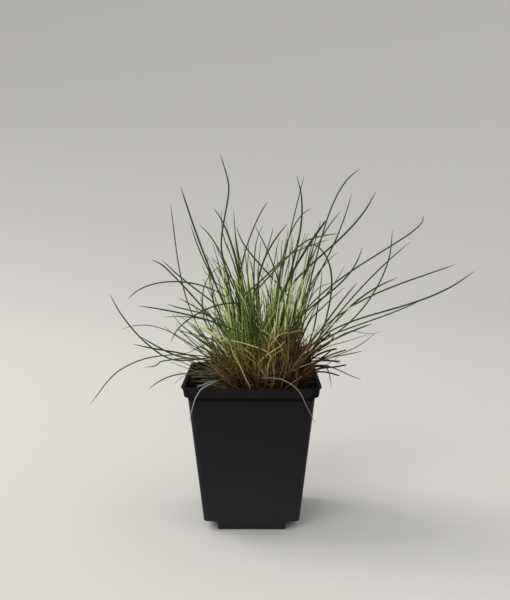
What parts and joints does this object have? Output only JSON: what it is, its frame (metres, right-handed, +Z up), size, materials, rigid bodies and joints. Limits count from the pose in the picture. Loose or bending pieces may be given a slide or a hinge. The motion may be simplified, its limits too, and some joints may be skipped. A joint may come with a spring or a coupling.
{
  "type": "potted ornamental grass",
  "caption": "Clump of blue fescue with fine arching needle leaves over a straw-brown tussock, in a square tapered black plastic nursery pot.",
  "frame": {"origin": "middle of the pot's foot, on the surface that the pot stands on", "axes": "+Z up out of the pot, -Y towards the side that the picture shows, +X to the right of that side"},
  "size_m": [0.2619, 0.1795, 0.2476],
  "materials": {
    "black_plastic": "satin",
    "peat": "matte",
    "straw_green": "matte",
    "blue_green_leaf": "satin",
    "straw_leaf": "matte"
  },
  "bodies": {
    "root": {"pot": "black_plastic", "soil": "peat", "crown": "straw_green", "leaf_01": "blue_green_leaf", "leaf_02": "blue_green_leaf", "leaf_03": "blue_green_leaf", "leaf_04": "blue_green_leaf", "leaf_05": "blue_green_leaf", "leaf_06": "blue_green_leaf", "leaf_07": "blue_green_leaf", "leaf_08": "blue_green_leaf", "leaf_09": "blue_green_leaf", "leaf_10": "blue_green_leaf", "leaf_11": "blue_green_leaf", "leaf_12": "blue_green_leaf", "leaf_13": "blue_green_leaf", "leaf_14": "blue_green_leaf", "leaf_15": "blue_green_leaf", "leaf_16": "blue_green_leaf", "leaf_17": "blue_green_leaf", "leaf_18": "blue_green_leaf", "leaf_19": "blue_green_leaf", "leaf_20": "blue_green_leaf", "leaf_21": "blue_green_leaf", "leaf_22": "blue_green_leaf", "leaf_23": "blue_green_leaf", "leaf_24": "blue_green_leaf", "leaf_25": "blue_green_leaf", "leaf_26": "blue_green_leaf", "leaf_27": "blue_green_leaf", "leaf_28": "blue_green_leaf", "leaf_29": "blue_green_leaf", "leaf_30": "blue_green_leaf", "leaf_31": "blue_green_leaf", "leaf_32": "blue_green_leaf", "leaf_33": "blue_green_leaf", "leaf_34": "blue_green_leaf", "leaf_35": "blue_green_leaf", "leaf_36": "blue_green_leaf", "leaf_37": "blue_green_leaf", "leaf_38": "blue_green_leaf", "leaf_39": "blue_green_leaf", "leaf_40": "blue_green_leaf", "leaf_41": "blue_green_leaf", "leaf_42": "blue_green_leaf", "leaf_43": "blue_green_leaf", "leaf_44": "blue_green_leaf", "leaf_45": "blue_green_leaf", "leaf_46": "blue_green_leaf", "leaf_47": "blue_green_leaf", "leaf_48": "blue_green_leaf", "leaf_49": "blue_green_leaf", "leaf_50": "blue_green_leaf", "leaf_51": "blue_green_leaf", "leaf_52": "blue_green_leaf", "leaf_53": "blue_green_leaf", "leaf_54": "blue_green_leaf", "leaf_55": "blue_green_leaf", "dead_leaf_01": "straw_leaf", "dead_leaf_02": "straw_leaf"}
  },
  "joints": []
}
